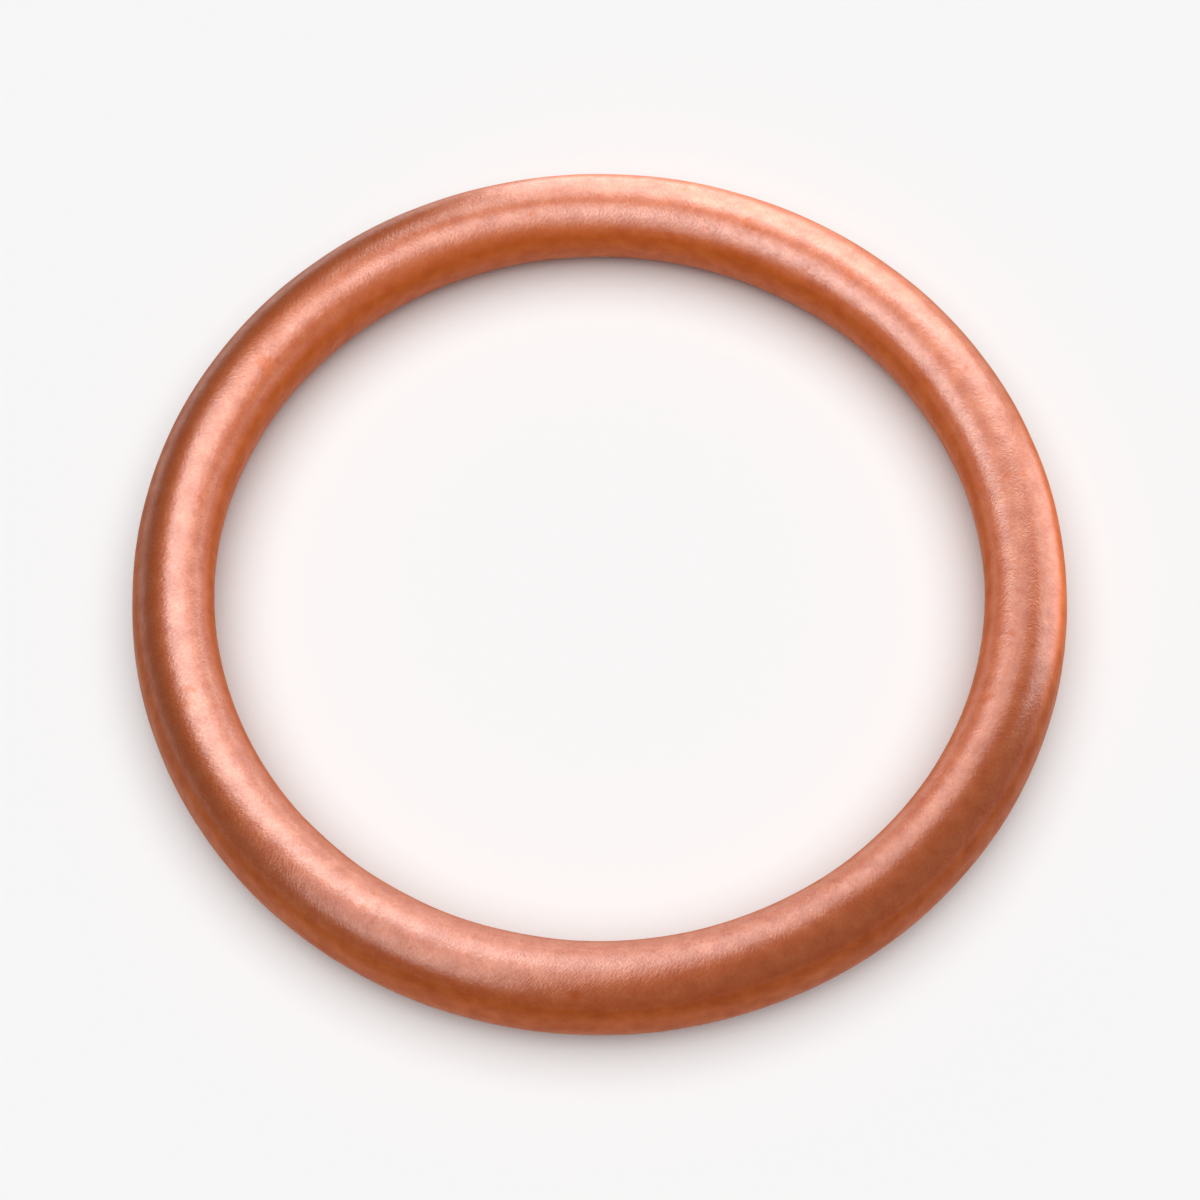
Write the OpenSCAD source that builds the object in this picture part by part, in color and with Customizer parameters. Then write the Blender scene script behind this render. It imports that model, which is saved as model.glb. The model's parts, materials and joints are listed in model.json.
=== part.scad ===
// Exhaust headpipe gasket.
// A solid copper ring that is squeezed between the face of the exhaust port and the
// flange of the headpipe. Its section is a short upright bar with round ends. The bar
// leans in a little, so the ring's top is slightly narrower than its foot. A narrow land
// is left on each face, on the rim and in the bore.
// The ring lies flat. Its axis is Z, and the origin is on the axis, level with the lower face.
// All sizes are in millimetres.

/* [Ring] */
// Diameter of the bore, which the exhaust gas passes through
bore_d = 38; // [28:0.5:60]
// Diameter of the section's round ends, which sets the width of the band
round_d = 4.05; // [3:0.05:7]
// Height of the straight walls between the round ends
wall_h = 0.77; // [0.2:0.01:3]

/* [Shape] */
// How far the upper round end stands in from the lower one, towards the axis
lean = 0.12; // [0:0.01:0.4]
// Width of the narrow lands on the two faces, on the rim and in the bore
land_w = 0.4; // [0.2:0.05:1]

/* [Hidden] */

round_r = round_d / 2;
// Depth that a land takes off a round end
land_depth = round_r - sqrt(pow(round_r, 2) - pow(land_w / 2, 2));
// Height of the ring, from the lower face's land to the upper face's
ring_h = round_d + wall_h - 2 * land_depth;
// Width of the band, from the bore's land to the rim's
band_w = round_d + lean - 2 * land_depth;
// Distance from the ring's axis to the middle of the band
mid_r = (bore_d + band_w) / 2;

copper = "#c8714f";
$fn = 180;

// A bar with two round ends of diameter d, about the origin. The centres of the ends
// stand rise apart in height, and the upper one stands in by shift. The bar between
// them is turned to match, so its sides touch both rounds.
module leaning_bar(d, rise, shift) {
    for (end = [-1, 1])
        translate([-end * shift / 2, end * rise / 2])
            circle(d = d);
    rotate(atan2(shift, rise))
        square([d, norm([shift, rise])], center = true);
}

// The ring's section: the leaning bar, with a land on each of its four sides
module ring_section() {
    intersection() {
        leaning_bar(round_d, wall_h, lean);
        square([band_w, ring_h], center = true);
    }
}

// The ring: its section, turned about the axis
module gasket_ring() {
    color(copper)
        rotate_extrude()
            translate([mid_r, ring_h / 2])
                ring_section();
}

gasket_ring();
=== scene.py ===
# %% [markdown]
# # A copper gasket for an exhaust headpipe
# The part is one closed copper ring. It is squeezed between the face of the exhaust
# port and the flange of the headpipe, and it seals by giving way a little. This file
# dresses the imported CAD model: it makes a fine copper surface in the place of the
# plain solid, lights it and sets the camera. Everything is in metres, in the frame of
# the CAD model.

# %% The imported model
import json
import math

import bpy
import numpy as np
from mathutils import Matrix, Vector


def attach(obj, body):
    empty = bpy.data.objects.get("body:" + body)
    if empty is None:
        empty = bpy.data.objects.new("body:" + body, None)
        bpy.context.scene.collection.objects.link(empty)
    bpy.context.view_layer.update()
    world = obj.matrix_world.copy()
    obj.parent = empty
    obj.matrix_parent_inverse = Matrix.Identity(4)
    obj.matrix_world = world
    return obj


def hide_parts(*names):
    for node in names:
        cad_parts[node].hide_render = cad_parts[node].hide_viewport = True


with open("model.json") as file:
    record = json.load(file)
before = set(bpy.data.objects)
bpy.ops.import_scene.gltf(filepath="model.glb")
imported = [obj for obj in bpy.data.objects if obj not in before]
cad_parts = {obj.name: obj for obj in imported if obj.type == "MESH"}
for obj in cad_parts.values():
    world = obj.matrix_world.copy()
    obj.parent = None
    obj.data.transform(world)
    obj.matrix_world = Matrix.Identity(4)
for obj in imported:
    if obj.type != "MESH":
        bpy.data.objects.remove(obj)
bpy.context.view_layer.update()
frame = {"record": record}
MM = 0.001

# %% [markdown]
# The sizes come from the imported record, so this file can't drift away from the CAD
# model. The mounts give the radius of the bore and of the rim, and the height of the
# narrow land on each. The two sealing faces give the radius at which the ring is
# highest and lowest. Together they fix the section: an upright bar with round ends,
# whose upper end stands in a little.

# %% The ring's sizes
mounts = {mount["name"]: mount for mount in frame["record"]["mounts"]}
bore_r = mounts["pipe_bore"]["dims"]["r_mm"] * MM
rim_r = mounts["port_rim"]["dims"]["r_mm"] * MM
upper_end_z = mounts["pipe_bore"]["pos_m"][2]
lower_end_z = mounts["port_rim"]["pos_m"][2]
lean = mounts["port_face"]["pos_m"][0] - mounts["flange_face"]["pos_m"][0]
wall_h = upper_end_z - lower_end_z
end_r = (rim_r - bore_r - lean) / 2
middle_r = (rim_r + bore_r) / 2
middle_z = (upper_end_z + lower_end_z) / 2
print(f"bore {bore_r / MM:.2f}, rim {rim_r / MM:.2f}, round ends {end_r / MM:.3f}, "
      f"walls {wall_h / MM:.2f}, lean {lean / MM:.2f} mm")

# %% [markdown]
# The surface is worked out by the direction in which it faces. Round the section, the
# normal turns through a full circle. For each of its angles the point is one end's
# centre plus the end's radius along the normal, and the straight walls are the jumps
# between the two centres. So the points bunch where the section is round, and each
# wall is one long face, which is cut into a few rows so that the relief can follow it.
# The CAD model's lands are a hundredth of a millimetre deep and don't show. Here the
# ends are round all over, and just reach the planes of the lands.

# %% The section
SECTION_POINTS = 72
WALL_ROWS = 6


def section(points, wall_rows):
    """Radius and height of the section's points, and the normal's direction in it.

    A point on a round end is centre + end_r * (cos a, sin a), where a starts at the top
    of the outer wall and runs anticlockwise. Along a wall the normal keeps the angle of
    the lean, and the centre slides from one end to the other.
    """
    tilt = math.atan2(lean, wall_h)
    half = points // 2
    upper = np.linspace(tilt, tilt + math.pi, half)
    slide = np.linspace(0, 1, wall_rows + 2)[1:-1]
    angle = np.concatenate([
        upper, np.full(wall_rows, tilt + math.pi),
        upper + math.pi, np.full(wall_rows, tilt + 2 * math.pi),
    ])
    share = np.concatenate([np.ones(half), 1 - slide, np.zeros(half), slide])
    centre_r = middle_r + lean * (0.5 - share)
    centre_z = middle_z + wall_h * (share - 0.5)
    normal = np.stack([np.cos(angle), np.sin(angle)], axis=-1)
    return centre_r + end_r * normal[:, 0], centre_z + end_r * normal[:, 1], normal


section_r, section_z, section_normal = section(SECTION_POINTS, WALL_ROWS)
print("section points:", len(section_r))

# %% [markdown]
# A formed ring is never quite even. Its skin has shallow dents and swellings, about a
# hundredth of a millimetre deep, which make the reflections wander. They are made
# here as real relief: a sum of soft waves in space, so that they join round the ring
# with no seam. The relief only goes inwards, which keeps the ring inside its size.

# %% The relief
RELIEF_WAVES = 40
RELIEF_DEPTH = 0.012 * MM
RELIEF_SEED = 4
SHORTEST_WAVE, LONGEST_WAVE = 2.0, 7.0  # in millimetres

relief_random = np.random.default_rng(RELIEF_SEED)
wave_length = relief_random.uniform(SHORTEST_WAVE, LONGEST_WAVE, RELIEF_WAVES) * MM
wave_axis = relief_random.normal(size=(RELIEF_WAVES, 3))
wave_axis /= np.linalg.norm(wave_axis, axis=1, keepdims=True)
wave_start = relief_random.uniform(0, 2 * math.pi, RELIEF_WAVES)


def relief(points):
    """Depth under the smooth surface at each point.

    The depth is RELIEF_DEPTH * (1 + s / 2), and never less than nothing. Here s is a
    sum of sine waves, each with its own direction, length and start, scaled to a
    spread of one.
    """
    total = np.zeros(len(points))
    for axis, length, start in zip(wave_axis, wave_length, wave_start):
        total += np.sin(points @ axis * (2 * math.pi / length) + start)
    total *= math.sqrt(2 / RELIEF_WAVES)
    return RELIEF_DEPTH * np.clip(1 + total / 2, 0, None)


print(f"relief: {RELIEF_WAVES} waves, "
      f"{wave_length.min() / MM:.1f} to {wave_length.max() / MM:.1f} mm long")

# %% [markdown]
# The ring's surface is the section, turned about the axis in steps of a third of a
# degree, with the relief taken off along the normal. Both directions close on
# themselves, so there is no seam anywhere, and the faces are ordered to look outwards.

# %% The ring's surface
TURN_POINTS = 1080


def ring_surface(turn_points):
    """Points and faces of the whole ring.

    The section's point (r, z) goes to (r cos t, r sin t, z) for every angle t of the
    turn, less the relief along the normal. Both directions close on themselves.
    """
    turn = np.arange(turn_points) * (2 * math.pi / turn_points)
    outward = np.stack([np.cos(turn), np.sin(turn), np.zeros(turn_points)], axis=-1)
    up = np.array([0.0, 0.0, 1.0])
    around = outward[:, None, :]
    points = section_r[None, :, None] * around + section_z[None, :, None] * up
    normals = section_normal[None, :, :1] * around + section_normal[None, :, 1:] * up
    points = points.reshape(-1, 3)
    points -= relief(points)[:, None] * normals.reshape(-1, 3)

    count = len(section_r)
    row, column = np.meshgrid(np.arange(turn_points), np.arange(count), indexing="ij")
    next_row = (row + 1) % turn_points
    next_column = (column + 1) % count
    faces = np.stack([
        row * count + column,
        next_row * count + column,
        next_row * count + next_column,
        row * count + next_column,
    ], axis=-1).reshape(-1, 4)
    return points, faces


def mesh_object(name, points, faces):
    """A smooth-shaded mesh object at the origin, filled from whole arrays."""
    mesh = bpy.data.meshes.new(name)
    mesh.vertices.add(len(points))
    mesh.vertices.foreach_set("co", points.astype(np.float32).ravel())
    mesh.loops.add(faces.size)
    mesh.loops.foreach_set("vertex_index", faces.astype(np.int32).ravel())
    mesh.polygons.add(len(faces))
    mesh.polygons.foreach_set("loop_start", np.arange(0, faces.size, 4, dtype=np.int32))
    mesh.polygons.foreach_set("use_smooth", np.ones(len(faces), dtype=bool))
    mesh.update(calc_edges=True)
    mesh.validate()
    piece = bpy.data.objects.new(name, mesh)
    bpy.context.scene.collection.objects.link(piece)
    return piece


ring_points, ring_faces = ring_surface(TURN_POINTS)
copper_ring = mesh_object("copper_ring", ring_points, ring_faces)
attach(copper_ring, "root")
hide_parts("gasket_ring")
print("faces:", len(ring_faces), "triangles:", 2 * len(ring_faces))

# %% [markdown]
# Old copper shows two things at once: a deep orange metal, and on it a pale sheen that
# the lamps show up in. The shader has the same two layers, a rough metal base and a
# smoother coat. Its patterns come from a few small helpers. They read the place on the
# part itself, so they stay with the ring from every side.

# %% Shader helpers
copper = bpy.data.materials.new("formed_copper")
copper.use_nodes = True
nodes = copper.node_tree.nodes
link = copper.node_tree.links.new
shader = nodes["Principled BSDF"]
place = nodes.new("ShaderNodeTexCoord").outputs["Object"]


def noise(vector, cell, detail, roughness):
    """A noise between 0 and 1 whose cells are the given length."""
    node = nodes.new("ShaderNodeTexNoise")
    node.inputs["Scale"].default_value = 1 / cell
    node.inputs["Detail"].default_value = detail
    node.inputs["Roughness"].default_value = roughness
    link(vector, node.inputs["Vector"])
    return node.outputs["Fac"]


def ramp(value, start, stop, first, last, smooth=False):
    """Takes start..stop to first..last, in a straight line or eased, and no further."""
    node = nodes.new("ShaderNodeMapRange")
    node.interpolation_type = "SMOOTHSTEP" if smooth else "LINEAR"
    link(value, node.inputs["Value"])
    limits = {"From Min": start, "From Max": stop, "To Min": first, "To Max": last}
    for name, number in limits.items():
        node.inputs[name].default_value = number
    return node.outputs["Result"]


def combine(operation, *values):
    """Adds or multiplies values, one after another."""
    total = values[0]
    for value in values[1:]:
        node = nodes.new("ShaderNodeMath")
        node.operation = operation
        link(total, node.inputs[0])
        link(value, node.inputs[1])
        total = node.outputs[0]
    return total


def vector_node(operation, vector):
    """A node that works on a vector."""
    node = nodes.new("ShaderNodeVectorMath")
    node.operation = operation
    link(vector, node.inputs[0])
    return node


# %% [markdown]
# In the photograph the ring's upper side, its crown, is paler than its walls. Here that
# is made by a stronger sheen on the crown and by painted shade on the walls. The pale
# part reaches a little further down on the inner side than on the outer one. So the
# height on the ring is read with a slight slant.

# %% The height on the ring
CROWN_SLANT = 0.10

apart = nodes.new("ShaderNodeSeparateXYZ")
link(place, apart.inputs[0])
height = apart.outputs["Z"]
flat = vector_node("MULTIPLY", place)
flat.inputs[1].default_value = (1, 1, 0)
radius = vector_node("LENGTH", flat.outputs["Vector"]).outputs["Value"]
slant = ramp(radius, middle_r - end_r, middle_r + end_r, CROWN_SLANT * end_r, -CROWN_SLANT * end_r)
crown_height = combine("ADD", height, slant)
print(f"slant: {CROWN_SLANT * end_r / MM:.2f} mm up or down at the edges")

# %% [markdown]
# The metal itself is uneven. Tarnish lies on it in small clouds, about a millimetre
# across, which make it a little darker and redder. The walls are darker than the crown
# all over: that is painted shade, which stands for the lamps lighting the crown more
# than the walls.

# %% The metal
METAL_BRIGHT = (0.635, 0.140, 0.010, 1)
METAL_DARK = (0.565, 0.110, 0.004, 1)
CLOUD_CELL = 0.9 * MM
CLOUD_RANGE = (0.3, 0.7)
TINT_RANGE = (0.35, 0.65)
BRIGHTNESS_OF_WALLS = 0.80
# Painted shade on the walls fades out between these two heights.
WALL_SHADE_FROM, WALL_SHADE_TO = 3.4 * MM, 4.2 * MM

clouds = noise(place, CLOUD_CELL, detail=4, roughness=0.55)
tint = nodes.new("ShaderNodeMix")
tint.data_type = "RGBA"
tint.inputs["A"].default_value = METAL_DARK
tint.inputs["B"].default_value = METAL_BRIGHT
link(ramp(clouds, *TINT_RANGE, 0, 1), tint.inputs["Factor"])
# Painted shade: the base colour is darkened to BRIGHTNESS_OF_WALLS times itself on the walls, below
# the crown.
brightness = ramp(crown_height, WALL_SHADE_FROM, WALL_SHADE_TO, BRIGHTNESS_OF_WALLS, 1, smooth=True)
painted_shade_colour = vector_node("SCALE", tint.outputs["Result"])
link(brightness, painted_shade_colour.inputs["Scale"])
link(painted_shade_colour.outputs["Vector"], shader.inputs["Base Color"])
shader.inputs["Metallic"].default_value = 1
print("metal: bright", METAL_BRIGHT[:3], "dark", METAL_DARK[:3], "walls times", BRIGHTNESS_OF_WALLS)

# %% [markdown]
# The sheen is strong on the crown and faint on the walls. The foot isn't seen in the
# photograph. It gets some of the crown's sheen, since it touches things too. The same
# clouds thin the sheen, and a few dark specks break it. The metal under it is set a
# little smoother on the walls, so that they still look like metal from low angles.

# %% The sheen
SHEEN_ON_WALLS = 0.08
SHEEN_ON_FOOT = 0.24
SHEEN_ON_CROWN = 0.92
CROWN_FROM, CROWN_TO = 3.66 * MM, 4.42 * MM
FOOT_FROM, FOOT_TO = 2.9 * MM, 1.5 * MM
ROUGHNESS_ON_WALLS = 0.60
ROUGHNESS_ON_CROWN = 0.68
ROUGHNESS_SPREAD = 0.04
SHEEN_IN_CLOUDS = (0.82, 1.12)
SPECK_CELL = 1.7 * MM
SPECK_RANGE = (0.64, 0.74)
SHEEN_IN_SPECKS = 0.6
COAT_IOR = 2.5
COAT_ROUGHNESS = 0.33

on_crown = ramp(crown_height, CROWN_FROM, CROWN_TO, SHEEN_ON_WALLS, SHEEN_ON_CROWN, smooth=True)
on_foot = ramp(height, FOOT_FROM, FOOT_TO, 0, SHEEN_ON_FOOT - SHEEN_ON_WALLS, smooth=True)
blotches = ramp(clouds, *CLOUD_RANGE, *SHEEN_IN_CLOUDS)
specks = ramp(noise(place, SPECK_CELL, detail=3, roughness=0.6),
              *SPECK_RANGE, 1, SHEEN_IN_SPECKS, smooth=True)
sheen = combine("MULTIPLY", combine("ADD", on_crown, on_foot), blotches, specks)

roughness = ramp(crown_height, CROWN_FROM, CROWN_TO,
                 ROUGHNESS_ON_WALLS, ROUGHNESS_ON_CROWN, smooth=True)
duller = ramp(clouds, *CLOUD_RANGE, ROUGHNESS_SPREAD, -ROUGHNESS_SPREAD)
link(combine("ADD", roughness, duller), shader.inputs["Roughness"])
shader.inputs["Coat IOR"].default_value = COAT_IOR
shader.inputs["Coat Roughness"].default_value = COAT_ROUGHNESS
print("sheen: crown", SHEEN_ON_CROWN, "walls", SHEEN_ON_WALLS, "foot", SHEEN_ON_FOOT)

# %% [markdown]
# The copper has a fine woven grain: short strokes, a tenth of a millimetre wide, that
# slant both ways across the band. A plain noise would look like sand. So the noise is
# read at a twisted place: the section is turned about its own middle as one goes round
# the ring, like the strands of a rope, once to the left and once to the right. A whole
# number of turns joins up with no seam. The two places are kept on the mesh.

# %% The grain
GRAIN_TURNS = 10
GRAIN_CELL = 0.15 * MM
GRAIN_DEPTH = 0.013 * MM
GRAIN_RANGE = (0.7, 1.3)
GRAIN_ON_SHEEN = 0.20


def twisted_places(turn_points, turns):
    """A place for each point of the ring's surface, on a ring of round section.

    With t the angle of the turn and a that of the normal, the section is turned by
    b = a + turns * t, and the place is ((m + e cos b) cos t, (m + e cos b) sin t,
    e sin b), where m is the middle radius and e that of the round ends.
    """
    turn = np.arange(turn_points)[:, None] * (2 * math.pi / turn_points)
    angle = np.arctan2(section_normal[:, 1], section_normal[:, 0])[None, :] + turns * turn
    radius = middle_r + end_r * np.cos(angle)
    places = [radius * np.cos(turn), radius * np.sin(turn), end_r * np.sin(angle)]
    return np.stack(places, axis=-1).reshape(-1, 3)


strokes = []
for name, turns in (("grain_left", GRAIN_TURNS), ("grain_right", -GRAIN_TURNS)):
    kept = copper_ring.data.attributes.new(name, "FLOAT_VECTOR", "POINT")
    kept.data.foreach_set("vector", twisted_places(TURN_POINTS, turns).astype(np.float32).ravel())
    twisted = nodes.new("ShaderNodeAttribute")
    twisted.attribute_name = name
    strokes.append(noise(twisted.outputs["Vector"], GRAIN_CELL, detail=2, roughness=0.5))
strand_slant = math.degrees(math.atan(GRAIN_TURNS * end_r / middle_r))
print("grain: strands slant by", round(strand_slant), "degrees")

# %% [markdown]
# The grain does two things. It is a very low relief, a hundredth of a millimetre, and
# the sheen is thinner in its hollows.

# %% The finished copper
grain = combine("ADD", *strokes)
grain_on_sheen = ramp(grain, *GRAIN_RANGE, 1 - GRAIN_ON_SHEEN, 1 + GRAIN_ON_SHEEN)
link(combine("MULTIPLY", sheen, grain_on_sheen), shader.inputs["Coat Weight"])
bump = nodes.new("ShaderNodeBump")
bump.inputs["Strength"].default_value = 1
bump.inputs["Distance"].default_value = GRAIN_DEPTH
link(grain, bump.inputs["Height"])
link(bump.outputs["Normal"], shader.inputs["Normal"])
link(bump.outputs["Normal"], shader.inputs["Coat Normal"])
copper_ring.data.materials.append(copper)
print("copper:", len(nodes), "nodes")

# %% [markdown]
# The ring lies on a plain pale floor. The floor has a soft sun of its own, so it is
# even from edge to edge, and it keeps the ring's shadow. Floor and ring are lit apart,
# as a photographer does with flags, because the ring's softboxes stand close to it and
# would otherwise leave bright pools on the table.

# %% Floor
FLOOR_SIZE = 6.0
FLOOR_COLOUR = (0.90, 0.90, 0.90, 1)
FLOOR_LIGHT = 0.95
SUN_WIDTH = 80  # in degrees


def pale_floor():
    """A flat square at the height of the ring's lower face."""
    half = FLOOR_SIZE / 2
    corners = np.array([(-half, -half, 0), (half, -half, 0), (half, half, 0), (-half, half, 0)])
    floor = mesh_object("floor", corners, np.array([[0, 1, 2, 3]]))
    material = bpy.data.materials.new("pale_floor")
    material.use_nodes = True
    shader = material.node_tree.nodes["Principled BSDF"]
    shader.inputs["Base Color"].default_value = FLOOR_COLOUR
    shader.inputs["Roughness"].default_value = 1
    shader.inputs["Specular IOR Level"].default_value = 0
    floor.data.materials.append(material)
    return floor


floor = pale_floor()


def lit_only(lamp_object, receiver):
    """Lets a lamp light one object alone, by light linking."""
    group = bpy.data.collections.new(lamp_object.name + "_lights")
    group.objects.link(receiver)
    lamp_object.light_linking.receiver_collection = group


def floor_sun():
    """A wide, soft sun straight above. Its strength over pi is the light on the floor."""
    lamp = bpy.data.lights.new("floor_sun", "SUN")
    lamp.energy = FLOOR_LIGHT * math.pi
    lamp.angle = math.radians(SUN_WIDTH)
    sun = bpy.data.objects.new("floor_sun", lamp)
    bpy.context.scene.collection.objects.link(sun)
    lit_only(sun, floor)


floor_sun()
print("floor:", FLOOR_SIZE, "m wide, light on it", FLOOR_LIGHT)

# %% [markdown]
# Satin metal shows what stands round it, so its look is made by the lamps as much as
# by the shader. Softboxes stand close to the ring, as they do round a small product.
# A square one above, on the left and behind, lights the left side and the inner edge.
# A dim long one hangs across the ring and gives the pale band that runs all the way
# round. A strip behind and a low one under it give the second band, at the top right,
# and a small low one on the right lights the edge there. In front it stays dark, but
# for a dim card in warm light, which keeps the near side of the copper deep in colour.

# %% Softboxes
ring_middle = Vector((0, 0, middle_z))
WHITE_LAMP = (1.0, 1.0, 1.0)
WARM_CARD = (1.0, 0.52, 0.24)


def softbox(name, azimuth, elevation, distance, roll,
            half_width, half_height, level, colour=WHITE_LAMP):
    """A rectangular lamp that faces the middle of the ring.

    Its place is distance along the direction of the two angles, in degrees, and it is
    rolled about that direction. The power is level * pi * area, which gives its face
    the brightness level. Lengths are in millimetres.
    """
    a, e = math.radians(azimuth), math.radians(elevation)
    towards = Vector((math.cos(e) * math.cos(a), math.cos(e) * math.sin(a), math.sin(e)))
    lamp = bpy.data.lights.new(name, "AREA")
    lamp.shape = "RECTANGLE"
    lamp.size = 2 * half_width * MM
    lamp.size_y = 2 * half_height * MM
    lamp.energy = level * math.pi * lamp.size * lamp.size_y
    lamp.color = colour
    box = bpy.data.objects.new(name, lamp)
    side = Vector((0, 0, 1)).cross(towards).normalized()
    top = towards.cross(side)
    r = math.radians(roll)
    side, top = side * math.cos(r) + top * math.sin(r), top * math.cos(r) - side * math.sin(r)
    turned = Matrix((side, top, towards)).transposed().to_4x4()
    box.matrix_world = Matrix.Translation(ring_middle + towards * distance * MM) @ turned
    box.visible_camera = False
    bpy.context.scene.collection.objects.link(box)
    lit_only(box, copper_ring)


# name, azimuth, elevation, distance, roll, half width, half height, level
softbox("box_above", 158, 60, 29, 18, 13, 14, 2.8)
softbox("box_across", 246, 70, 29, -11, 11, 33, 1.3)
softbox("box_behind", 75, 43, 49, -13, 27, 9, 2.1)
softbox("box_low", 67, 15, 30, -10, 22, 6, 2.5)
softbox("box_right", 6, 10, 29, 10, 9, 6, 1.6)
softbox("card_front", -60, 34, 29, 88, 14, 28, 0.36, WARM_CARD)

# %% [markdown]
# The rest of the room is nearly dark, and plain grey.

# %% Surroundings
ROOM_LIGHT = 0.08

world = bpy.data.worlds.new("studio")
world.use_nodes = True
background = world.node_tree.nodes["Background"]
background.inputs["Color"].default_value = (1, 1, 1, 1)
background.inputs["Strength"].default_value = ROOM_LIGHT
bpy.context.scene.world = world
print("room light:", ROOM_LIGHT)

# %% [markdown]
# The camera looks down at the ring from in front. In the photograph the ring's inner
# and outer outlines are two ovals. The camera stands where the ring's own outlines fall
# on them, to a fraction of a pixel.

# %% Camera
CAMERA_ELEVATION = 64.758
CAMERA_DISTANCE = 141.1 * MM
CAMERA_AIM = Vector((0.023, -1.220, 0)) * MM
CAMERA_LENS = 85.455
FILM_WIDTH = 36


def photo_camera():
    """A camera in front of the ring, at its elevation and distance, which looks at its aim."""
    e = math.radians(CAMERA_ELEVATION)
    data = bpy.data.cameras.new("camera")
    data.lens = CAMERA_LENS
    data.sensor_width = FILM_WIDTH
    data.clip_start = 0.001
    data.clip_end = 10
    camera = bpy.data.objects.new("camera", data)
    camera.location = ring_middle + CAMERA_DISTANCE * Vector((0, -math.cos(e), math.sin(e)))
    aim = ring_middle + CAMERA_AIM - camera.location
    camera.rotation_euler = aim.to_track_quat("-Z", "Y").to_euler()
    bpy.context.scene.collection.objects.link(camera)
    bpy.context.scene.camera = camera


photo_camera()
bpy.context.scene.view_settings.view_transform = "Standard"
print("camera:", CAMERA_ELEVATION, "degrees up,", round(CAMERA_DISTANCE / MM, 1), "mm away")
